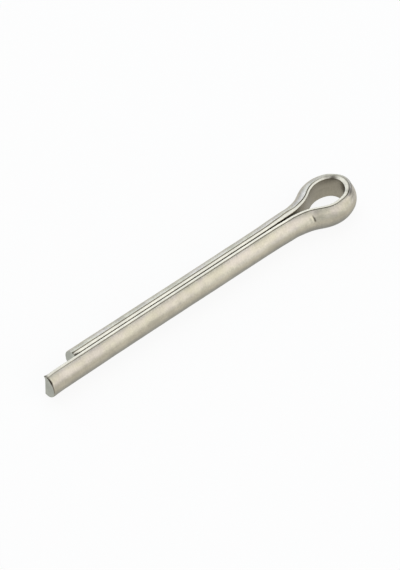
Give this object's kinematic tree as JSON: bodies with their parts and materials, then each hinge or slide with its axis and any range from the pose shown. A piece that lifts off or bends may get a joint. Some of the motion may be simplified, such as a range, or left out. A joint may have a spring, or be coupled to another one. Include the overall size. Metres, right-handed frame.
{
  "type": "brake pad retaining pin",
  "caption": "Split retaining pin for brake pads: half-round wire folded flat to flat into a round shank, with an eye at the fold and prongs of unequal length.",
  "frame": {"origin": "on the shank's axis, at the shoulder where the prongs start to part into the eye", "axes": "+X along the shank towards the eye, prongs towards -X with the longer one on the -Y side; +Z along the hole through the eye, up, as the pin lies on its side"},
  "size_m": [0.0359, 0.0054, 0.0026],
  "materials": {
    "steel_wire": "satin drawn wire with a faint warm tint, fine lengthwise drawing marks and bright rolled edges"
  },
  "bodies": {
    "root": {"split_pin": "steel_wire"}
  },
  "joints": []
}
